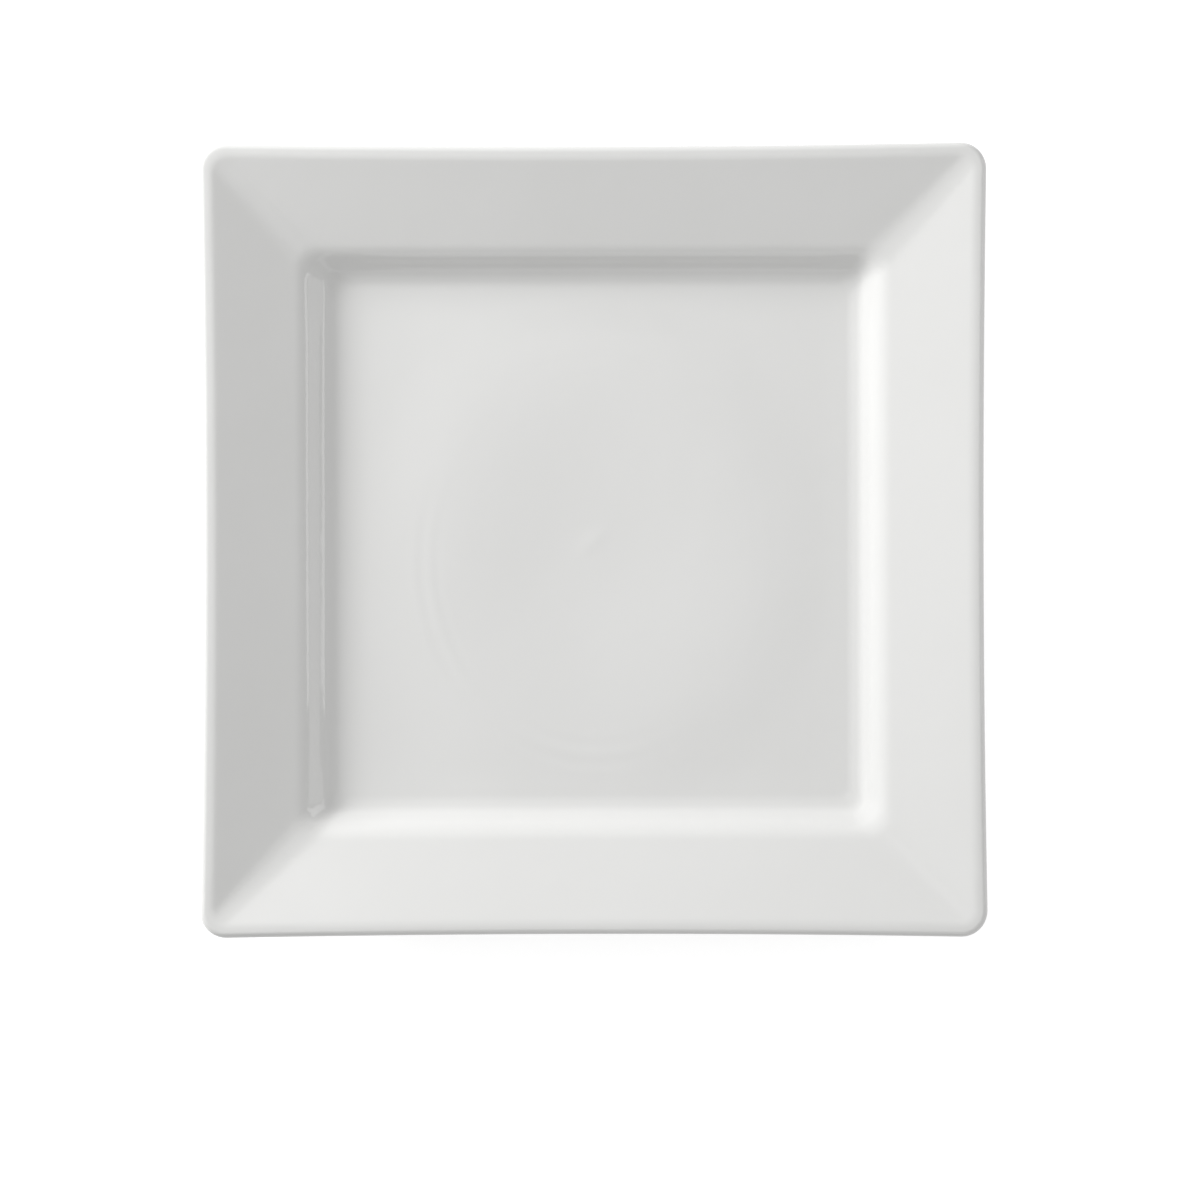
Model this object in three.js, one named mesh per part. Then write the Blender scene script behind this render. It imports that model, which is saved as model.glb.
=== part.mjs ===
// Square serving platter in glazed porcelain.
// One fired biscuit body carries a fused coat of glaze. The foot ring is wiped bare before firing,
// so the coat lies in two separate areas: the face glaze, which runs from the well over the rim and down
// the underside to the foot, and the recess glaze inside the foot ring.
// Millimetres, +Z up. The origin is the centre of the plane that the foot ring stands on.
import * as THREE from "three";

// Plan sizes of the biscuit body. The glaze adds its thickness outside them.
const SIDE = 304.4; // side of the square, measured over the corners
const SIDE_BOW = 1.3; // how far the middle of each side draws in from that square
const RIM_WIDTH = 38.9; // from the outline in to the top of the well wall
const LIP_WIDTH = 4.4; // the part of that width, along the outline, where the rim levels out
const WALL_RUN = 8.9; // plan width of the sloping well wall
const COVE_RUN = 4.2; // plan width of the shallow cove between the wall and the floor

// Heights and thicknesses of the biscuit body.
const WALL_DROP = 8; // from the inner edge of the rim down to the well floor
const COVE_SLOPE = THREE.MathUtils.degToRad(14); // the cove rises outwards
const RIM_SLOPE = THREE.MathUtils.degToRad(17); // the rim rises outwards
const RIM_THICKNESS = 6;
const WALL_THICKNESS = 6;
const FLOOR_THICKNESS = 5.4;

// The foot ring.
const FOOT_RECESS = 3; // depth of the hollow inside the ring
const FOOT_REVEAL = 3.8; // height of the ring's outer flank
const FOOT_WIDTH = 5; // width of the face that it stands on
const FOOT_DRAFT = THREE.MathUtils.degToRad(12); // lean of both flanks
const BARE_BAND = 1; // height of the unglazed band on each flank

// Fillets of the cross-section.
const WELL_FILLET = 12;
const COVE_BEND = 9;
const RIM_BEND = 15;
const LIP_BEND = 10;
const LIP_TOP_RADIUS = 2.2;
const LIP_UNDER_RADIUS = 1.3;
const UNDER_BEND = 18;
const FOOT_ROOT_FILLET = 4;
const FOOT_EDGE_RADIUS = 0.8;
const RECESS_FILLET = 2;

// Corner radii in plan.
const WELL_CORNER = 5;
const RIM_CORNER = 10;
const LIP_CORNER = 6;
const OUTER_CORNER = 10;
const UNDER_CORNER = 12;
const FOOT_CORNER = 14;

const GLAZE_THICKNESS = 0.3;

// Facets: steps around each corner of the plan, along each side and round each fillet.
const CORNER_STEPS = 5;
const SIDE_STEPS = 4;
const FILLET_STEPS = 4;

// A station is one level of the cross-section: a rounded square of half width `half` at height `z`,
// with plan corner radius `corner`, whose sides draw in by `bow` at their middles.
// `fillet` rounds the cross-section there.
function station(half, z, { corner = 0, bow = 0, fillet = 0 } = {}) {
  return { half, z, corner, bow, fillet };
}

function between(a, b, share) {
  const mix = (key) => THREE.MathUtils.lerp(a[key], b[key], share);
  return station(mix("half"), mix("z"), { corner: mix("corner"), bow: mix("bow") });
}

const distance = (a, b) => Math.hypot(b.half - a.half, b.z - a.z);

// The angle that the cross-section turns through at `corner`.
function turnAt(before, corner, after) {
  const arriving = new THREE.Vector2(corner.half - before.half, corner.z - before.z);
  const leaving = new THREE.Vector2(after.half - corner.half, after.z - corner.z);
  return arriving.angleTo(leaving);
}

// Replaces each filleted corner of a run of stations by an arc. Where two fillets would meet on the
// stretch between them, both shrink to fit it.
function rounded(run) {
  const last = run.length - 1;
  const tangent = run.map((s, i) =>
    s.fillet ? s.fillet * Math.tan(turnAt(run[i - 1], s, run[i + 1]) / 2) : 0,
  );
  const fit = run.map((s, i) =>
    i === last ? 1 : Math.min(1, distance(s, run[i + 1]) / (tangent[i] + tangent[i + 1])),
  );
  return run.flatMap((s, i) => {
    if (!s.fillet) return [s];
    const reach = tangent[i] * Math.min(fit[i - 1], fit[i]);
    const start = between(s, run[i - 1], reach / distance(s, run[i - 1]));
    const end = between(s, run[i + 1], reach / distance(s, run[i + 1]));
    return filletArc(start, s, end);
  });
}

// Stations on the arc that leaves `start` and reaches `end`, tangent to the lines that meet at `corner`.
function filletArc(start, corner, end) {
  const turn = turnAt(start, corner, end);
  const bulge = Math.tan(turn / 2) / 2;
  return Array.from({ length: FILLET_STEPS + 1 }, (_, step) => {
    const share = step / FILLET_STEPS;
    const angle = (share - 0.5) * turn;
    const along = 0.5 + Math.sin(angle) / (2 * Math.sin(turn / 2));
    const height = (Math.cos(angle) - Math.cos(turn / 2)) / (2 * Math.sin(turn / 2));
    const chord = between(start, end, along);
    const middle = between(start, end, 0.5);
    const lift = height / bulge;
    chord.half += (corner.half - middle.half) * lift;
    chord.z += (corner.z - middle.z) * lift;
    return chord;
  });
}

// The direction that the stretch from `a` to `b` faces, away from the body.
const facing = (a, b) => new THREE.Vector2(a.z - b.z, b.half - a.half).normalize();

// The same run moved outwards all along, as a coat of that thickness lies on it.
function coated(run, thickness) {
  const faces = run.slice(1).map((s, i) => facing(run[i], s));
  return run.map((s, i) => {
    const before = faces[Math.max(i - 1, 0)];
    const after = faces[Math.min(i, faces.length - 1)];
    const shift = before.clone().add(after).multiplyScalar(thickness / (1 + before.dot(after)));
    const corner = Math.max(0, s.corner + shift.x);
    return station(s.half + shift.x, s.z + shift.y, { corner, bow: s.bow });
  });
}

// The steps of a rounded square, once round from its right side: `core` is a point of the square whose
// half width is 1, `normal` faces out there, and `along` runs from -1 to 1 on each side.
function planSteps() {
  const steps = [];
  const centre = new THREE.Vector2();
  for (let quarter = 0; quarter < 4; quarter++) {
    const turned = (x, y) => new THREE.Vector2(x, y).rotateAround(centre, (quarter * Math.PI) / 2);
    for (let k = 1; k < SIDE_STEPS; k++) {
      const along = -1 + (2 * k) / SIDE_STEPS;
      steps.push({ core: turned(1, along), normal: turned(1, 0), along });
    }
    for (let k = 0; k <= CORNER_STEPS; k++) {
      const angle = ((k / CORNER_STEPS) * Math.PI) / 2;
      steps.push({ core: turned(1, 1), normal: turned(Math.cos(angle), Math.sin(angle)), along: 1 });
    }
  }
  return steps;
}

const PLAN = planSteps();

function pointOn(s, { core, normal, along }) {
  const out = s.corner - s.bow * (1 - along * along);
  return new THREE.Vector3(
    core.x * (s.half - s.corner) + normal.x * out,
    core.y * (s.half - s.corner) + normal.y * out,
    s.z,
  );
}

// The triangles of the skin that joins a run of stations, facing away from the body. A station of no
// width is a point on the axis, where the quadrilaterals shrink to triangles.
function skin(run) {
  const triangles = [];
  for (let j = 0; j + 1 < run.length; j++) {
    PLAN.forEach((step, i) => {
      const next = PLAN[(i + 1) % PLAN.length];
      const [a, b] = [pointOn(run[j], step), pointOn(run[j + 1], step)];
      const [d, c] = [pointOn(run[j], next), pointOn(run[j + 1], next)];
      if (run[j + 1].half > 0) triangles.push([a, b, c]);
      if (run[j].half > 0) triangles.push([a, c, d]);
    });
  }
  return triangles;
}

const flipped = (triangles) => triangles.map(([a, b, c]) => [a, c, b]);

function geometryOf(triangles) {
  const geometry = new THREE.BufferGeometry().setFromPoints(triangles.flat());
  geometry.computeVertexNormals();
  return geometry;
}

// A closed shell of glaze that lies on a run of the body, and shares the body's own facets there.
function glazeOn(run) {
  const outside = [run[0], ...coated(run, GLAZE_THICKNESS), run.at(-1)];
  return geometryOf([...skin(outside), ...flipped(skin(run))]);
}

// Levels and half widths that follow from the sizes above.
const outerHalf = SIDE / 2;
const rimHalf = outerHalf - RIM_WIDTH;
const coveHalf = rimHalf - WALL_RUN;
const wellHalf = coveHalf - COVE_RUN;
const floorZ = FOOT_RECESS + FLOOR_THICKNESS;
const coveZ = floorZ + COVE_RUN * Math.tan(COVE_SLOPE);
const rimZ = floorZ + WALL_DROP;
const lipHalf = outerHalf - LIP_WIDTH;
const lipTopZ = rimZ + (lipHalf - rimHalf) * Math.tan(RIM_SLOPE);
const lipUnderZ = rimZ + RIM_WIDTH * Math.tan(RIM_SLOPE) - RIM_THICKNESS / Math.cos(RIM_SLOPE);

// The underside of the wall follows wall and cove as one slope, and the underside of the rim the rim.
const wallAngle = Math.atan2(WALL_DROP, WALL_RUN + COVE_RUN / 2);
const wallGrade = Math.tan(wallAngle);
const rimGrade = Math.tan(RIM_SLOPE);
const wallTopUnderZ = rimZ - WALL_THICKNESS / Math.cos(wallAngle);
const wallUnderZ = (half) => wallTopUnderZ + (half - rimHalf) * wallGrade;
const rimUnderZ = (half) => lipUnderZ - (outerHalf - half) * rimGrade;
const bendHalf = outerHalf - (wallUnderZ(outerHalf) - rimUnderZ(outerHalf)) / (wallGrade - rimGrade);

// The foot ring hangs from the underside of the wall, and its flanks lean in towards the face it stands on.
const lean = Math.tan(FOOT_DRAFT);
const footRootHalf = rimHalf + (FOOT_REVEAL - wallTopUnderZ) / wallGrade;
const footOuterHalf = footRootHalf - FOOT_REVEAL * lean;
const footInnerHalf = footOuterHalf - FOOT_WIDTH;

const footPlan = { corner: FOOT_CORNER };
const outerPlan = { corner: OUTER_CORNER, bow: SIDE_BOW };
const outerGlazeLine = station(footOuterHalf + BARE_BAND * lean, BARE_BAND, footPlan);
const innerGlazeLine = station(footInnerHalf - BARE_BAND * lean, BARE_BAND, footPlan);

// The body's cross-section, from the middle of the well round to the middle of the recess.
const face = rounded([
  station(0, floorZ),
  station(wellHalf, floorZ, { corner: WELL_CORNER, fillet: WELL_FILLET }),
  station(coveHalf, coveZ, { corner: WELL_CORNER, fillet: COVE_BEND }),
  station(rimHalf, rimZ, { corner: RIM_CORNER, fillet: RIM_BEND }),
  station(lipHalf, lipTopZ, { corner: LIP_CORNER, bow: SIDE_BOW, fillet: LIP_BEND }),
  station(outerHalf, lipTopZ, { ...outerPlan, fillet: LIP_TOP_RADIUS }),
  station(outerHalf, lipUnderZ, { ...outerPlan, fillet: LIP_UNDER_RADIUS }),
  station(bendHalf, rimUnderZ(bendHalf), { corner: UNDER_CORNER, fillet: UNDER_BEND }),
  station(footRootHalf, FOOT_REVEAL, { ...footPlan, fillet: FOOT_ROOT_FILLET }),
  outerGlazeLine,
]);
const foot = rounded([
  outerGlazeLine,
  station(footOuterHalf, 0, { ...footPlan, fillet: FOOT_EDGE_RADIUS }),
  station(footInnerHalf, 0, { ...footPlan, fillet: FOOT_EDGE_RADIUS }),
  innerGlazeLine,
]);
const recess = rounded([
  innerGlazeLine,
  station(footInnerHalf - FOOT_RECESS * lean, FOOT_RECESS, { ...footPlan, fillet: RECESS_FILLET }),
  station(0, FOOT_RECESS),
]);

const biscuit = new THREE.MeshStandardMaterial({ color: 0xe4dfd6, roughness: 0.85, metalness: 0 });
const glaze = new THREE.MeshStandardMaterial({ color: 0xeeeeec, roughness: 0.12, metalness: 0 });

function piece(name, geometry, material) {
  const mesh = new THREE.Mesh(geometry, material);
  mesh.name = name;
  return mesh;
}

const platter = new THREE.Group();
platter.add(
  piece("porcelain_body", geometryOf([...skin(face), ...skin(foot), ...skin(recess)]), biscuit),
  piece("face_glaze", glazeOn(face), glaze),
  piece("recess_glaze", glazeOn(recess), glaze),
);

export default platter;
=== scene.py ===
"""A square serving platter in white glazed porcelain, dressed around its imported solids.

Metres, +Z up, in the frame of the solids. Each of the three pieces is one cross-section run round a rounded
square: the biscuit body, the glaze over its face, and the glaze in the recess of its foot.
"""

import math
from typing import NamedTuple

import bpy
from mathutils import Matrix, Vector


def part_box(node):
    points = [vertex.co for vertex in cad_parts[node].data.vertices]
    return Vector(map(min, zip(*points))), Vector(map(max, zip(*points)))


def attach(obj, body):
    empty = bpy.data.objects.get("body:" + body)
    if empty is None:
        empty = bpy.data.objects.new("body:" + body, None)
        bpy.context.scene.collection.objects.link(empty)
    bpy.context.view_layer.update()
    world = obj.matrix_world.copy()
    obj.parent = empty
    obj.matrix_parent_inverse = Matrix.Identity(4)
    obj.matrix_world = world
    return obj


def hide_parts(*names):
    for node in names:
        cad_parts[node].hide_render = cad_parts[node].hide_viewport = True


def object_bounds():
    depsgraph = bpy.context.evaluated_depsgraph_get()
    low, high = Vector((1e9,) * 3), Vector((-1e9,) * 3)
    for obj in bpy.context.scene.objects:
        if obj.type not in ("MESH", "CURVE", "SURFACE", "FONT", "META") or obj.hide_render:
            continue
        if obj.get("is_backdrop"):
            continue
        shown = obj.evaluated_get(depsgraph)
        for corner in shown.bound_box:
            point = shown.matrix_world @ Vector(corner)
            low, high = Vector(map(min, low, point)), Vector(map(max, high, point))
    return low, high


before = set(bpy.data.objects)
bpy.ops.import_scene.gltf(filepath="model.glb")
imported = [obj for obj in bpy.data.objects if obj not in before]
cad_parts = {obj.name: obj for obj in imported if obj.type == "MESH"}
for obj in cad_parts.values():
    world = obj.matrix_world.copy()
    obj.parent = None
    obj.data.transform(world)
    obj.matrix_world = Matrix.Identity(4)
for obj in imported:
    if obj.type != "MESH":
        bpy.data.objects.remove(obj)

CAD_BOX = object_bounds()
mm = 0.001

# Plan sizes of the biscuit body, as the solids have them
BODY_LOW, BODY_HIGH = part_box("porcelain_body")
SIDE = BODY_HIGH.x - BODY_LOW.x
SIDE_BOW = 1.3 * mm
RIM_WIDTH = 38.9 * mm
LIP_WIDTH = 4.4 * mm
WALL_RUN = 8.9 * mm
COVE_RUN = 4.2 * mm

# Heights and thicknesses of the biscuit body
WALL_DROP = 8 * mm
COVE_SLOPE = math.radians(14)
RIM_SLOPE = math.radians(17)
RIM_THICKNESS = 6 * mm
WALL_THICKNESS = 6 * mm
FLOOR_THICKNESS = 5.4 * mm

# The foot ring
FOOT_RECESS = 3 * mm
FOOT_REVEAL = 3.8 * mm
FOOT_WIDTH = 5 * mm
FOOT_DRAFT = math.radians(12)
BARE_BAND = 1 * mm

# Fillets of the cross-section
WELL_FILLET = 12 * mm
COVE_BEND = 9 * mm
RIM_BEND = 15 * mm
LIP_BEND = 10 * mm
LIP_TOP_RADIUS = 2.2 * mm
LIP_UNDER_RADIUS = 1.3 * mm
UNDER_BEND = 18 * mm
FOOT_ROOT_FILLET = 4 * mm
FOOT_EDGE_RADIUS = 0.8 * mm
RECESS_FILLET = 2 * mm

# Corner radii in plan
WELL_CORNER = 5 * mm
RIM_CORNER = 10 * mm
LIP_CORNER = 6 * mm
OUTER_CORNER = 10 * mm
UNDER_CORNER = 12 * mm
FOOT_CORNER = 14 * mm

# The glaze: its thickness, how it rolls off along the line where it was wiped away, and how that line wanders
GLAZE_THICKNESS = 0.3 * mm
GLAZE_BEAD = 0.8 * mm
GLAZE_WANDER = 0.5 * mm
WANDER_LENGTH = 8.8 * mm
WANDER_DETAIL = 2.0
WANDER_TOP = 2.3 * mm
WANDER_FULL = 1.2 * mm

# The S of the wall, which fades out in the last part of each side towards the corners
WALL_SWAY = 0.2 * mm
SWAY_FADE = 0.8

# The dish in the floor, whose flat middle and outer fall end at shares of its reach
DISH_REACH = (66 * mm, 77 * mm, 1)
DISH_DEPTH = 1.6 * mm
DISH_CENTRE = (0.3 * mm, -6 * mm, 0)
DISH_FLAT = 0.1
DISH_FALL = 0.45 * mm
DISH_FALL_END = 1.45

# The forming rings round the dish: where they start, are full and end in shares of its reach, the
# direction in which they are deepest, and what is left of them elsewhere
RING_PITCH = 0.1
RING_DEPTH = 0.05 * mm
RING_START = (0.86, 0.94)
RING_END = (1.14, 1.06)
RING_SIDE = (-0.64, -0.77)
RING_SPREAD = (0.2, 1.0)
RING_LEAST = 0.2

# The pip in the middle of the floor
PIP_REACH = (10 * mm, 5 * mm, 1)
PIP_HEIGHT = 0.1 * mm
PIP_TURN = math.radians(45)

# How firing warps the rim, and stretches and moves the rim and the well
WARP = 0.25 * mm
WARP_LENGTH = 110 * mm
RIM_DRAW = (-0.75 * mm, 0.58 * mm, 0)
RIM_SHIFT = (0, 0.54 * mm, 0)
WELL_DRAW = (0, 0.52 * mm, 0)
WELL_SHIFT = (0, 0.52 * mm, 0)
FIRING_SEED = 3.0
WANDER_SEED_SHIFT = 10.0

# How finely the pieces are drawn
SIDE_STEPS = 56
CORNER_STEPS = 10
BEAD_STEPS = 6
WALL_STEPS = 20
WALL_FIRST, WALL_LAST = 4, 14
FINE_TURN = math.radians(3)
RECESS_TURN = FINE_TURN * 2
FOOT_TURN = FINE_TURN * 3
COARSE_TURN = math.radians(9)
FINE_GAP = 1.3 * mm
COARSE_GAP = 5 * mm
CREASE_ANGLE = math.radians(50)
WELD = 1e-6

# The glaze's finish, with scales in cycles a metre: two tints, the least and most roughness, and ripples with
# their heights in millimetres
GLAZE_TINTS = ((0.80, 0.80, 0.787), (0.83, 0.83, 0.819))
CLOUD_SCALE = 22.0
GLAZE_ROUGHNESS = (0.035, 0.065)
SMEAR_SCALE = 60.0
GLAZE_RIPPLES = ((75.0, 0.06), (420.0, 0.006))
RIPPLE_DETAIL = 1.0
GLAZE_IOR = 1.5

# The bare biscuit's finish
BISCUIT_TINTS = ((0.74, 0.70, 0.63), (0.62, 0.58, 0.52))
SMUDGE_SCALE = 90.0
SMUDGE_DETAIL = 4.0
SMUDGE_EDGE = (0.45, 0.75)
BISCUIT_ROUGHNESS = (0.7, 0.9)
GRAIN_SCALE = 2500.0
GRAIN_DETAIL = 3.0
GRAIN_STRENGTH = 0.3
GRAIN_HEIGHT = 0.1 * mm

# The photograph: its frame, where the platter lies in it, and the lens
PHOTO_SIDE = 1200
PLATTER_CENTRE_PX = (593.4, 541.5)
PLATTER_SIDE_PX = 793
SENSOR = 36
LENS = 85
CAMERA_ROLL = math.radians(-0.1)

# The studio. Each soft light has its azimuth from +X and its elevation in degrees, its distance, width and
# height in metres, and its watts
SOFT_LIGHTS = {
    "key_softbox": (147, 19, 1.5, 0.8, 0.44, 23.2),
    "overhead_panel": (90, 89.9, 1.7, 0.6, 0.6, 0.38),
    "left_card": (183, 32, 1.5, 0.7, 0.62, 0.37),
    "back_card": (90, 32, 1.5, 0.7, 0.62, 0.27),
    "front_card": (-80, 30, 1.5, 0.9, 0.5, 0.95),
    "right_card": (10, 15, 1.3, 1.0, 0.43, 1.15),
    "right_strip": (13, 30.2, 1.3, 0.76, 0.18, 0.9),
    "right_panel": (10, 52, 1.4, 0.9, 0.5, 0.2),
}
SURROUND = 0.455
FLOOR_REACH = 12.0
FLOOR_GAP = 0.05 * mm
FLOOR_WHITE = (0.55, 0.55, 0.55)
FLOOR_ROUGHNESS = 0.9
FLOOR_LIFT = 0.75


class Station(NamedTuple):
    """One level of the cross-section: a rounded square, drawn in at the middle of its sides by `bow`."""

    half: float
    z: float
    corner: float = 0
    bow: float = 0


def mixed(a, b, share):
    """The station at a share of the way from a to b."""
    return Station(*(p + (q - p) * share for p, q in zip(a, b)))


def distance(a, b):
    return math.hypot(b.half - a.half, b.z - a.z)


def turn_at(before, corner, after):
    """The angle that the cross-section turns through at a corner."""
    arriving = Vector((corner.half - before.half, corner.z - before.z))
    leaving = Vector((after.half - corner.half, after.z - corner.z))
    return arriving.angle(leaving)


def fillet_arc(before, corner, after, radius, step):
    """Stations on the arc that rounds a corner of the cross-section."""
    turn = turn_at(before, corner, after)
    reach = radius * math.tan(turn / 2)
    start = mixed(corner, before, reach / distance(corner, before))
    end = mixed(corner, after, reach / distance(corner, after))
    middle = mixed(start, end, 0.5)
    count = math.ceil(turn / step)
    for k in range(count + 1):
        angle = (k / count - 0.5) * turn
        chord = mixed(start, end, 0.5 + math.sin(angle) / (2 * math.sin(turn / 2)))
        lift = (math.cos(angle) - math.cos(turn / 2)) / (math.sin(turn / 2) * math.tan(turn / 2))
        yield chord._replace(
            half=chord.half + (corner.half - middle.half) * lift,
            z=chord.z + (corner.z - middle.z) * lift,
        )


def drawn(corners, step, gap):
    """A run of (station, fillet radius) corners as stations: each fillet in turns of at most `step`, and the
    straight stretches in steps of at most `gap`."""
    stations = []
    for k, (corner, radius) in enumerate(corners):
        arc = [corner]
        if radius:
            arc = fillet_arc(corners[k - 1][0], corner, corners[k + 1][0], radius, step)
        for station in arc:
            if stations:
                last = stations[-1]
                cuts = math.ceil(distance(last, station) / gap)
                stations += [mixed(last, station, cut / cuts) for cut in range(1, cuts)]
            stations.append(station)
    return stations


def facing(a, b):
    """The direction that the stretch from a to b faces, to its left."""
    return Vector((a.z - b.z, b.half - a.half)).normalized()


def beaded(run):
    """The run with close steps where the glaze rolls off at its last station."""
    line, above = run[-1], run[-2]
    shares = [1 - math.sin(k / BEAD_STEPS * math.pi / 2) for k in range(BEAD_STEPS)]
    bead = GLAZE_BEAD / distance(line, above)
    return [*run[:-1], *(mixed(line, above, share * bead) for share in shares), line]


def glazed(run, side):
    """The surface of the glaze on a run that ends at its glaze line. `side` is 1 where the run has the air
    on its left, and -1 on its right."""
    run = beaded([s for s in run if s is run[-1] or distance(s, run[-1]) > GLAZE_BEAD])
    faces = [facing(a, b) * side for a, b in zip(run, run[1:])]
    left = 0
    surface = []
    for k in reversed(range(len(run))):
        station = run[k]
        if k + 1 < len(run):
            left += distance(station, run[k + 1])
        thin = max(0, 1 - left / GLAZE_BEAD)
        thickness = GLAZE_THICKNESS * math.sqrt(1 - thin * thin)
        before, after = faces[max(k - 1, 0)], faces[min(k, len(faces) - 1)]
        shift = (before + after) * thickness / (1 + before.dot(after))
        surface.append(
            station._replace(
                half=station.half + shift.x,
                z=station.z + shift.y,
                corner=max(0, station.corner + shift.x),
            )
        )
    return surface[::-1]


# Levels and half widths that follow from the sizes
outer_half = SIDE / 2
rim_half = outer_half - RIM_WIDTH
lip_half = outer_half - LIP_WIDTH
cove_half = rim_half - WALL_RUN
well_half = cove_half - COVE_RUN
floor_z = FOOT_RECESS + FLOOR_THICKNESS
rim_z = floor_z + WALL_DROP
cove_z = floor_z + COVE_RUN * math.tan(COVE_SLOPE)
rim_grade = math.tan(RIM_SLOPE)
lip_top_z = rim_z + (lip_half - rim_half) * rim_grade
lip_under_z = rim_z + RIM_WIDTH * rim_grade - RIM_THICKNESS / math.cos(RIM_SLOPE)

# The underside of the wall runs parallel to its face, and the underside of the rim to the rim
wall_angle = math.atan2(WALL_DROP, WALL_RUN + COVE_RUN / 2)
wall_grade = math.tan(wall_angle)
wall_under_z = rim_z - WALL_THICKNESS / math.cos(wall_angle)
wall_outer_z = wall_under_z + (outer_half - rim_half) * wall_grade
bend_half = outer_half - (wall_outer_z - lip_under_z) / (wall_grade - rim_grade)
bend_z = lip_under_z - (outer_half - bend_half) * rim_grade

# The foot ring hangs from the underside of the wall
lean = math.tan(FOOT_DRAFT)
foot_root_half = rim_half + (FOOT_REVEAL - wall_under_z) / wall_grade
foot_outer_half = foot_root_half - FOOT_REVEAL * lean
foot_inner_half = foot_outer_half - FOOT_WIDTH
outer_glaze_line = Station(foot_outer_half + BARE_BAND * lean, BARE_BAND, FOOT_CORNER)
inner_glaze_line = Station(foot_inner_half - BARE_BAND * lean, BARE_BAND, FOOT_CORNER)

# The wall between its fillets, in steps that its S can follow
wall_foot = Station(cove_half, cove_z, WELL_CORNER)
wall_top = Station(rim_half, rim_z, RIM_CORNER)
wall = [mixed(wall_foot, wall_top, k / WALL_STEPS) for k in range(WALL_FIRST, WALL_LAST + 1)]

# The corners of the cross-section, each with its fillet: the face from the middle of the well to its glaze
# line, the bare foot, and the recess from its middle to its glaze line
FACE = [
    (Station(0, floor_z), 0),
    (Station(well_half, floor_z, WELL_CORNER), WELL_FILLET),
    (wall_foot, COVE_BEND),
    *((station, 0) for station in wall),
    (wall_top, RIM_BEND),
    (Station(lip_half, lip_top_z, LIP_CORNER, SIDE_BOW), LIP_BEND),
    (Station(outer_half, lip_top_z, OUTER_CORNER, SIDE_BOW), LIP_TOP_RADIUS),
    (Station(outer_half, lip_under_z, OUTER_CORNER, SIDE_BOW), LIP_UNDER_RADIUS),
    (Station(bend_half, bend_z, UNDER_CORNER), UNDER_BEND),
    (Station(foot_root_half, FOOT_REVEAL, FOOT_CORNER), FOOT_ROOT_FILLET),
    (outer_glaze_line, 0),
]
FOOT = [
    (outer_glaze_line, 0),
    (Station(foot_outer_half, 0, FOOT_CORNER), FOOT_EDGE_RADIUS),
    (Station(foot_inner_half, 0, FOOT_CORNER), FOOT_EDGE_RADIUS),
    (inner_glaze_line, 0),
]
RECESS = [
    (Station(0, FOOT_RECESS), 0),
    (Station(foot_inner_half - FOOT_RECESS * lean, FOOT_RECESS, FOOT_CORNER), RECESS_FILLET),
    (inner_glaze_line, 0),
]


class Field:
    """A value in a node tree, with arithmetic that adds the Math nodes for it."""

    def __init__(self, tree, socket):
        self.tree = tree
        self.socket = socket

    def math(self, operation, *others):
        made = self.tree.nodes.new("ShaderNodeMath")
        made.operation = operation
        for socket, value in zip(made.inputs, (self, *others)):
            feed(self.tree, socket, value)
        return Field(self.tree, made.outputs[0])

    def __add__(self, other):
        return self.math("ADD", other)

    def __sub__(self, other):
        return self.math("SUBTRACT", other)

    def __mul__(self, other):
        return self.math("MULTIPLY", other)

    def __truediv__(self, other):
        return self.math("DIVIDE", other)

    def clamped(self, low, high):
        return self.math("MAXIMUM", low).math("MINIMUM", high)

    def eased(self, start, end):
        """0 before start, 1 after end, and a smooth step between them."""
        made = self.tree.nodes.new("ShaderNodeMapRange")
        made.interpolation_type = "SMOOTHSTEP"
        for name, value in (("Value", self), ("From Min", start), ("From Max", end)):
            feed(self.tree, made.inputs[name], value)
        return Field(self.tree, made.outputs["Result"])

    def spread(self, least, most):
        """A value of 0 to 1 spread from least to most."""
        return self * (most - least) + least


def feed(tree, socket, value):
    """Links a field to a socket, or sets the socket to a plain value."""
    if isinstance(value, Field):
        tree.links.new(value.socket, socket)
    else:
        socket.default_value = value


def node(tree, kind, inputs=None, output=0, **settings):
    """Adds a node, with its settings and inputs, and gives one of its outputs as a field."""
    made = tree.nodes.new(kind)
    for name, value in settings.items():
        setattr(made, name, value)
    for name, value in (inputs or {}).items():
        feed(tree, made.inputs[name], value)
    return Field(tree, made.outputs[output])


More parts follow.
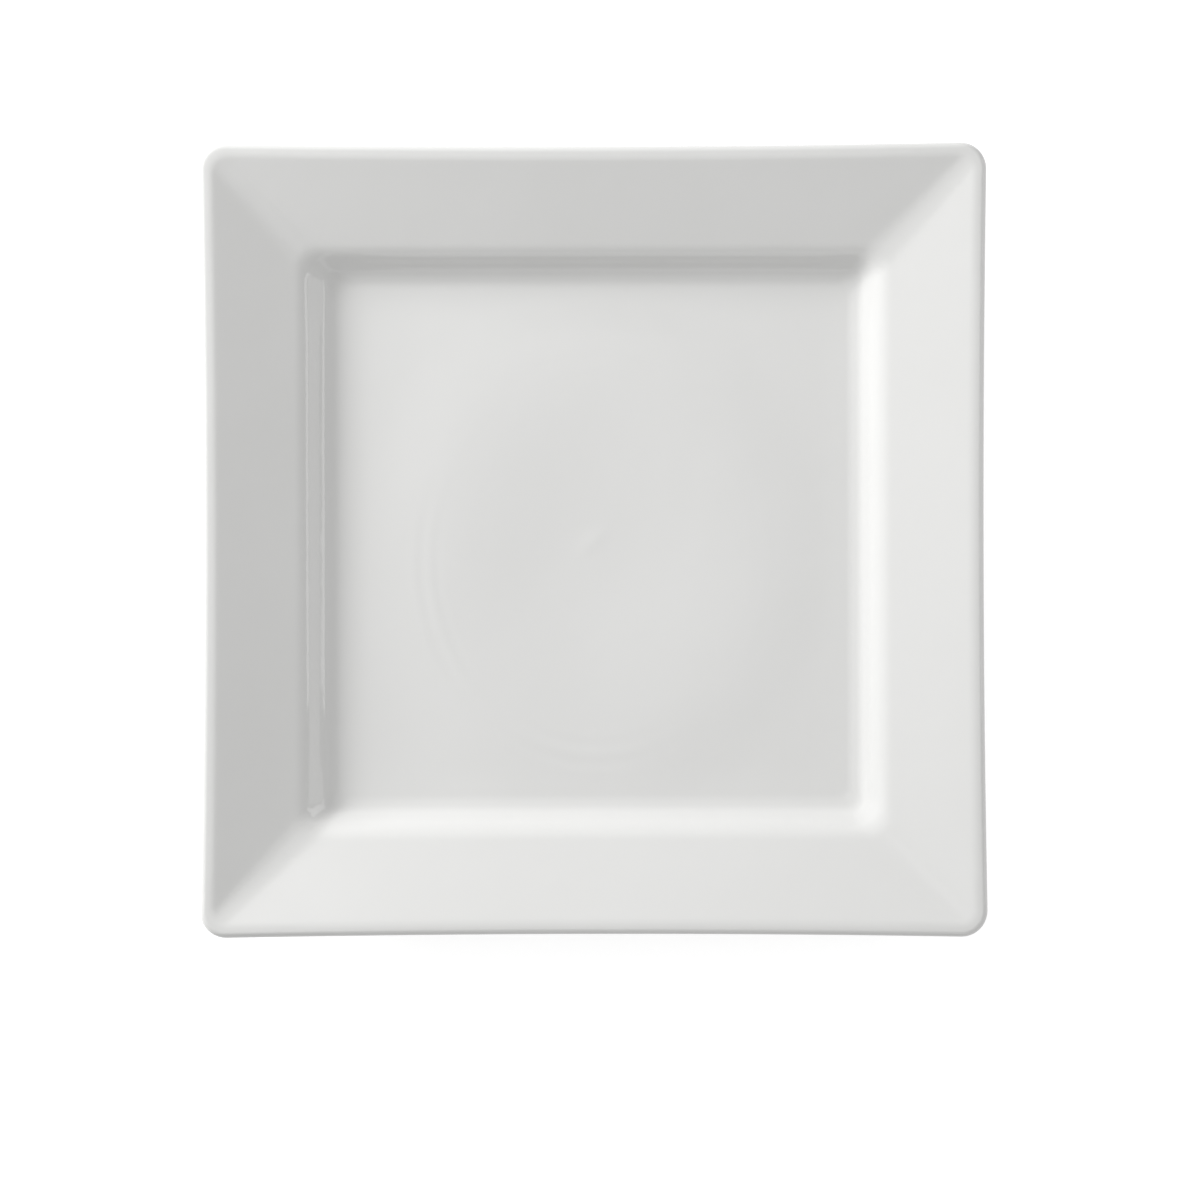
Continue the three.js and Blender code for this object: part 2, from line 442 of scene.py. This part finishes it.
LOFT_INPUTS = {
    "Side Steps": ("NodeSocketInt", SIDE_STEPS),
    "Corner Steps": ("NodeSocketInt", CORNER_STEPS),
    "Floor Level": ("NodeSocketFloat", floor_z),
    "Wall Sway": ("NodeSocketFloat", WALL_SWAY),
    "Dish Centre": ("NodeSocketVector", DISH_CENTRE),
    "Dish Reach": ("NodeSocketVector", DISH_REACH),
    "Dish Depth": ("NodeSocketFloat", DISH_DEPTH),
    "Dish Fall": ("NodeSocketFloat", DISH_FALL),
    "Pip Reach": ("NodeSocketVector", PIP_REACH),
    "Pip Height": ("NodeSocketFloat", PIP_HEIGHT),
    "Ring Pitch": ("NodeSocketFloat", RING_PITCH),
    "Ring Depth": ("NodeSocketFloat", RING_DEPTH),
    "Warp": ("NodeSocketFloat", WARP),
    "Warp Length": ("NodeSocketFloat", WARP_LENGTH),
    "Rim Draw": ("NodeSocketVector", RIM_DRAW),
    "Rim Shift": ("NodeSocketVector", RIM_SHIFT),
    "Well Draw": ("NodeSocketVector", WELL_DRAW),
    "Well Shift": ("NodeSocketVector", WELL_SHIFT),
    "Line Wander": ("NodeSocketFloat", 0.0),
    "Wander Length": ("NodeSocketFloat", WANDER_LENGTH),
    "Flank Lean": ("NodeSocketFloat", 0.0),
    "Seed": ("NodeSocketFloat", FIRING_SEED),
    "Material": ("NodeSocketMaterial", None),
}


def loft_tree():
    """Runs a line of stations round a rounded square, and gives the surface what forming and firing leave.
    A station's vertex holds its half width in X, its height in Z, and the attributes corner and bow."""
    tree = bpy.data.node_groups.new("rounded_square_loft", "GeometryNodeTree")
    tree.interface.new_socket("Geometry", in_out="INPUT", socket_type="NodeSocketGeometry")
    for name, (kind, default) in LOFT_INPUTS.items():
        socket = tree.interface.new_socket(name, in_out="INPUT", socket_type=kind)
        if default is not None:
            socket.default_value = default
    tree.interface.new_socket("Geometry", in_out="OUTPUT", socket_type="NodeSocketGeometry")
    group_input = tree.nodes.new("NodeGroupInput")
    given = {s.name: Field(tree, s) for s in group_input.outputs if s.name}
    section = given["Geometry"]

    # One grid vertex for each station and each step round the square, the first step repeated at the end
    quarter_steps = given["Side Steps"] + given["Corner Steps"]
    round_steps = quarter_steps * 4 + 1
    stations = node(tree, "GeometryNodeAttributeDomainSize", {"Geometry": section}, "Point Count")
    grid = node(tree, "GeometryNodeMeshGrid", {"Vertices X": stations, "Vertices Y": round_steps}, "Mesh")
    index = node(tree, "GeometryNodeInputIndex")
    station = ((index + 0.5) / round_steps).math("FLOOR")
    step = index - station * round_steps

    def of_station(value, data_type="FLOAT"):
        inputs = {"Geometry": section, "Value": value, "Index": station}
        return node(tree, "GeometryNodeSampleIndex", inputs, data_type=data_type)

    def attribute(name):
        return node(tree, "GeometryNodeInputNamedAttribute", {"Name": name}, data_type="FLOAT")

    def axis(vector, name):
        return node(tree, "ShaderNodeSeparateXYZ", {"Vector": vector}, name)

    def vector_math(operation, first, second):
        return node(tree, "ShaderNodeVectorMath", {0: first, 1: second}, operation=operation)

    place = of_station(node(tree, "GeometryNodeInputPosition"), "FLOAT_VECTOR")
    half, height = axis(place, "X"), axis(place, "Z")
    corner, bow = of_station(attribute("corner")), of_station(attribute("bow"))

    # The first side and corner of the square, then turned to the quarter that the step is in
    quarter = ((step + 0.5) / quarter_steps).math("FLOOR")
    rung = step - quarter * quarter_steps
    along = (rung * 2 / given["Side Steps"] - 1).clamped(-1, 1)
    angle = ((rung - given["Side Steps"]) / given["Corner Steps"]).clamped(0, 1) * (math.pi / 2)
    core = half - corner
    out = corner - bow * (along * along * -1 + 1)
    out_x, out_y = angle.math("COSINE"), angle.math("SINE")

    def turned(x, y, z):
        flat = node(tree, "ShaderNodeCombineXYZ", {"X": x, "Y": y, "Z": z})
        inputs = {"Vector": flat, "Angle": quarter * (math.pi / 2)}
        return node(tree, "ShaderNodeVectorRotate", inputs, rotation_type="Z_AXIS")

    ring = turned(core + out_x * out, core * along + out_y * out, height)

    def noise(length, seed_shift, detail):
        inputs = {"Vector": ring, "Scale": length.math("POWER", -1.0), "Detail": detail}
        inputs["W"] = given["Seed"] + seed_shift
        return node(tree, "ShaderNodeTexNoise", inputs, "Fac", noise_dimensions="4D") - 0.5

    # The glaze line wanders up and down the flank of the foot
    near_line = height.eased(WANDER_TOP, WANDER_FULL)
    wander = noise(given["Wander Length"], WANDER_SEED_SHIFT, WANDER_DETAIL)
    wander = wander * given["Line Wander"] * near_line
    flank = wander * given["Flank Lean"]
    lofted = vector_math("ADD", ring, turned(out_x * flank, out_y * flank, wander))

    # Firing drew the rim in a little across X, and stretched and moved rim and well along Y
    on_floor = height.math("GREATER_THAN", given["Floor Level"] - FLOOR_THICKNESS / 2)
    for zone, reach, pull in (
        ("Rim", outer_half, half.eased(rim_half, outer_half)),
        ("Well", well_half, half.eased(rim_half, cove_half) * on_floor),
    ):
        shares = vector_math("DIVIDE", ring, (reach, reach, 1))
        moved = vector_math("MULTIPLY", shares, given[f"{zone} Draw"])
        moved = vector_math("ADD", moved, given[f"{zone} Shift"])
        lofted = vector_math("ADD", lofted, vector_math("MULTIPLY", moved, pull))

    # The floor sags to a dish, and falls a little outside it
    from_dish = vector_math("SUBTRACT", ring, given["Dish Centre"])
    shares = vector_math("DIVIDE", from_dish, given["Dish Reach"])
    east, north = axis(shares, "X"), axis(shares, "Y")
    share = (east * east + north * north).math("SQRT")
    sag = share.eased(1.0, DISH_FLAT) * given["Dish Depth"]
    dish = sag + share.eased(1.0, DISH_FALL_END) * given["Dish Fall"]

    # The forming tool left a spiral of faint rings round the dish, deepest on one side
    spiral = (share / given["Ring Pitch"] * math.tau - north.math("ARCTAN2", east)).math("SINE")
    bearing = (east * RING_SIDE[0] + north * RING_SIDE[1]) / share.math("MAXIMUM", DISH_FLAT)
    pressed = bearing.eased(*RING_SPREAD).spread(RING_LEAST, 1)
    rings = spiral * share.eased(*RING_START) * share.eased(*RING_END) * pressed * given["Ring Depth"]

    # It left a long pip in the middle, too
    inputs = {"Vector": ring, "Angle": -PIP_TURN}
    from_pip = node(tree, "ShaderNodeVectorRotate", inputs, rotation_type="Z_AXIS")
    pip_shares = vector_math("DIVIDE", from_pip, given["Pip Reach"])
    pip_long, pip_wide = axis(pip_shares, "X"), axis(pip_shares, "Y")
    pip = (pip_long * pip_long + pip_wide * pip_wide).math("SQRT").eased(1.0, 0.0) * given["Pip Height"]
    in_well = half.eased(rim_half, well_half - WELL_FILLET) * on_floor

    # The wall is a slight S between the corners: hollow below, full above and steepest in the middle
    climb = ((half - cove_half) / (rim_half - cove_half)).clamped(0, 1) * math.pi
    sine = climb.math("SINE")
    bend = sine * sine * sine * climb.math("COSINE")
    on_wall = height.math("GREATER_THAN", (wall_under_z + cove_z) / 2)
    sway = bend * along.math("ABSOLUTE").eased(1.0, SWAY_FADE) * on_wall

    # Firing warps the rim, and leaves the foot flat
    lifted = height.eased(FOOT_REVEAL, rim_z)
    warp = noise(given["Warp Length"], 0.0, 0.0) * given["Warp"] * lifted
    rise = (rings + pip - dish) * in_well - sway * 2 * given["Wall Sway"] + warp
    raised = node(tree, "ShaderNodeCombineXYZ", {"Z": rise})
    inputs = {"Geometry": grid, "Position": lofted, "Offset": raised}
    surface = node(tree, "GeometryNodeSetPosition", inputs)

    closed = node(tree, "GeometryNodeMergeByDistance", {"Geometry": surface, "Distance": WELD})
    smooth = node(tree, "GeometryNodeSetShadeSmooth", {"Geometry": closed, "Shade Smooth": True})
    sharp = node(tree, "GeometryNodeInputMeshEdgeAngle").math("GREATER_THAN", CREASE_ANGLE)
    inputs = {"Geometry": smooth, "Selection": sharp, "Shade Smooth": False}
    creased = node(tree, "GeometryNodeSetShadeSmooth", inputs, domain="EDGE")
    real = node(tree, "GeometryNodeRealizeInstances", {"Geometry": creased})
    finished = node(tree, "GeometryNodeSetMaterial", {"Geometry": real, "Material": given["Material"]})
    feed(tree, tree.nodes.new("NodeGroupOutput").inputs["Geometry"], finished)
    return tree


def station_line(name, stations):
    """An object whose vertices are the stations of a cross-section."""
    mesh = bpy.data.meshes.new(name)
    edges = [(k, k + 1) for k in range(len(stations) - 1)]
    mesh.from_pydata([(s.half, 0, s.z) for s in stations], edges, [])
    for key in ("corner", "bow"):
        values = mesh.attributes.new(key, "FLOAT", "POINT")
        values.data.foreach_set("value", [getattr(s, key) for s in stations])
    line = bpy.data.objects.new(name, mesh)
    bpy.context.scene.collection.objects.link(line)
    return line


def lofted_piece(name, tree, stations, cad_node, slot, **inputs):
    """Makes a finished piece: the stations run round the square, a plain mesh that stands for its solid."""
    piece = station_line(name, stations)
    modifier = piece.modifiers.new("loft", "NODES")
    modifier.node_group = tree
    identifiers = {s.name: s.identifier for s in tree.interface.items_tree if s.in_out == "INPUT"}
    for key, value in inputs.items():
        modifier[identifiers[key.replace("_", " ").title()]] = value
    evaluated = piece.evaluated_get(bpy.context.evaluated_depsgraph_get())
    line = piece.data
    piece.data = bpy.data.meshes.new_from_object(evaluated)
    piece.data.name = name
    piece.modifiers.remove(modifier)
    bpy.data.meshes.remove(line)
    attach(piece, "root")
    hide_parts(cad_node)


def shader(name):
    """A new material, its node tree and its Principled shader."""
    material = bpy.data.materials.new(name)
    material.use_nodes = True
    return material, material.node_tree, material.node_tree.nodes["Principled BSDF"]


def noise_on(tree, place, scale, detail=2.0):
    return node(tree, "ShaderNodeTexNoise", {"Vector": place, "Scale": scale, "Detail": detail}, "Fac")


def tinted(tree, factor, tints):
    """A colour that goes from the first tint to the second with a factor."""
    mix = tree.nodes.new("ShaderNodeMix")
    mix.data_type = "RGBA"
    first, second = ((*tint, 1) for tint in tints)
    for name, kind, value in (("Factor", "VALUE", factor), ("A", "RGBA", first), ("B", "RGBA", second)):
        socket = next(s for s in mix.inputs if (s.name, s.type) == (name, kind))
        feed(tree, socket, value)
    return Field(tree, next(s for s in mix.outputs if s.type == "RGBA"))


def bumped(tree, height, strength, depth):
    return node(tree, "ShaderNodeBump", {"Height": height, "Strength": strength, "Distance": depth})


def porcelain_glaze():
    """Glossy white glaze: faint clouds of tint, and the fine unevenness that a fired coat keeps."""
    material, tree, principled = shader("porcelain_glaze")
    place = node(tree, "ShaderNodeTexCoord", output="Object")
    clouds = noise_on(tree, place, CLOUD_SCALE)
    feed(tree, principled.inputs["Base Color"], tinted(tree, clouds, GLAZE_TINTS))
    gloss = noise_on(tree, place, SMEAR_SCALE).spread(*GLAZE_ROUGHNESS)
    feed(tree, principled.inputs["Roughness"], gloss)
    broad, fine = (noise_on(tree, place, scale, RIPPLE_DETAIL) * height for scale, height in GLAZE_RIPPLES)
    feed(tree, principled.inputs["Normal"], bumped(tree, broad + fine, 1.0, 1 * mm))
    principled.inputs["IOR"].default_value = GLAZE_IOR
    return material


def bare_biscuit():
    """Matt unglazed porcelain, warm and a little grainy, with the greys that a foot picks up from tables."""
    material, tree, principled = shader("bare_biscuit")
    place = node(tree, "ShaderNodeTexCoord", output="Object")
    smudge = noise_on(tree, place, SMUDGE_SCALE, SMUDGE_DETAIL).eased(*SMUDGE_EDGE)
    feed(tree, principled.inputs["Base Color"], tinted(tree, smudge, BISCUIT_TINTS))
    grain = noise_on(tree, place, GRAIN_SCALE, GRAIN_DETAIL)
    feed(tree, principled.inputs["Roughness"], grain.spread(*BISCUIT_ROUGHNESS))
    feed(tree, principled.inputs["Normal"], bumped(tree, grain, GRAIN_STRENGTH, GRAIN_HEIGHT))
    return material


def platter():
    tree = loft_tree()
    glaze = porcelain_glaze()
    face = drawn(FACE, FINE_TURN, FINE_GAP)
    face_under = drawn(FACE, COARSE_TURN, COARSE_GAP)
    foot = drawn(FOOT, FOOT_TURN, FINE_GAP)
    recess = drawn(RECESS, RECESS_TURN, COARSE_GAP)
    recess_under = drawn(RECESS, COARSE_TURN, COARSE_GAP)
    lofted_piece(
        "platter_face_glaze",
        tree,
        [*glazed(face, 1), *face_under[-2::-1]],
        "face_glaze",
        "glaze",
        line_wander=GLAZE_WANDER,
        flank_lean=lean,
        material=glaze,
    )
    lofted_piece(
        "platter_recess_glaze",
        tree,
        [*recess_under[:-1], *glazed(recess, -1)[::-1]],
        "recess_glaze",
        "glaze",
        line_wander=GLAZE_WANDER,
        flank_lean=-lean,
        material=glaze,
    )
    lofted_piece(
        "platter_body",
        tree,
        [*face_under[:-1], *foot, *recess_under[-2::-1]],
        "porcelain_body",
        "biscuit",
        material=bare_biscuit(),
    )


def seen_rays(tree):
    """1 for rays that show the floor, straight, in a gloss or through glass, and 0 for rays that carry its
    light to other things."""
    kinds = ("Camera", "Glossy", "Transmission")
    camera, glossy, through = (node(tree, "ShaderNodeLightPath", output=f"Is {kind} Ray") for kind in kinds)
    return camera.math("MAXIMUM", glossy).math("MAXIMUM", through)


def white_floor():
    """A plain floor just clear of the foot, which is seen as white where no shadow falls."""
    mesh = bpy.data.meshes.new("floor")
    signs = ((-1, -1), (1, -1), (1, 1), (-1, 1))
    corners = [(x * FLOOR_REACH, y * FLOOR_REACH, -FLOOR_GAP) for x, y in signs]
    mesh.from_pydata(corners, [], [(0, 1, 2, 3)])
    floor = bpy.data.objects.new("floor", mesh)
    bpy.context.scene.collection.objects.link(floor)
    material, tree, principled = shader("white_floor")
    principled.inputs["Base Color"].default_value = (*FLOOR_WHITE, 1)
    principled.inputs["Roughness"].default_value = FLOOR_ROUGHNESS
    principled.inputs["Emission Color"].default_value = (1, 1, 1, 1)
    feed(tree, principled.inputs["Emission Strength"], seen_rays(tree) * FLOOR_LIFT)
    mesh.materials.append(material)
    floor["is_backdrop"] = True


def soft_light(name, azimuth, elevation, away, width, height, watts):
    """A soft panel that faces the platter."""
    lamp = bpy.data.lights.new(name, "AREA")
    lamp.shape = "RECTANGLE"
    lamp.size = width
    lamp.size_y = height
    lamp.energy = watts
    light = bpy.data.objects.new(name, lamp)
    turn, tilt = math.radians(azimuth), math.radians(elevation)
    flat = math.cos(tilt)
    toward = Vector((math.cos(turn) * flat, math.sin(turn) * flat, math.sin(tilt)))
    light.location = toward * away
    light.rotation_euler = (-toward).to_track_quat("-Z", "Y").to_euler()
    bpy.context.scene.collection.objects.link(light)


def studio():
    """A strong low softbox from the back left, a panel overhead and weak cards on all sides, in an even grey
    surround."""
    for name, settings in SOFT_LIGHTS.items():
        soft_light(name, *settings)
    world = bpy.data.worlds.new("surround")
    world.use_nodes = True
    background = world.node_tree.nodes["Background"]
    background.inputs["Color"].default_value = (1, 1, 1, 1)
    background.inputs["Strength"].default_value = SURROUND
    bpy.context.scene.world = world


def photo_camera():
    """Straight down, with the platter where the photograph has it."""
    size = (CAD_BOX[1].x - CAD_BOX[0].x) / PLATTER_SIDE_PX
    camera = bpy.data.objects.new("camera", bpy.data.cameras.new("camera"))
    camera.data.sensor_width = SENSOR
    camera.data.lens = LENS
    camera.location = (
        (PHOTO_SIDE / 2 - PLATTER_CENTRE_PX[0]) * size,
        (PLATTER_CENTRE_PX[1] - PHOTO_SIDE / 2) * size,
        CAD_BOX[1].z + PHOTO_SIDE * size * LENS / SENSOR,
    )
    camera.rotation_euler.z = CAMERA_ROLL
    bpy.context.scene.collection.objects.link(camera)
    bpy.context.scene.camera = camera


platter()
white_floor()
studio()
photo_camera()
bpy.context.scene.view_settings.view_transform = "Standard"

boxes = {"cad": CAD_BOX, "visual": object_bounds()}
{key: [list(corner) for corner in box] for key, box in boxes.items()}
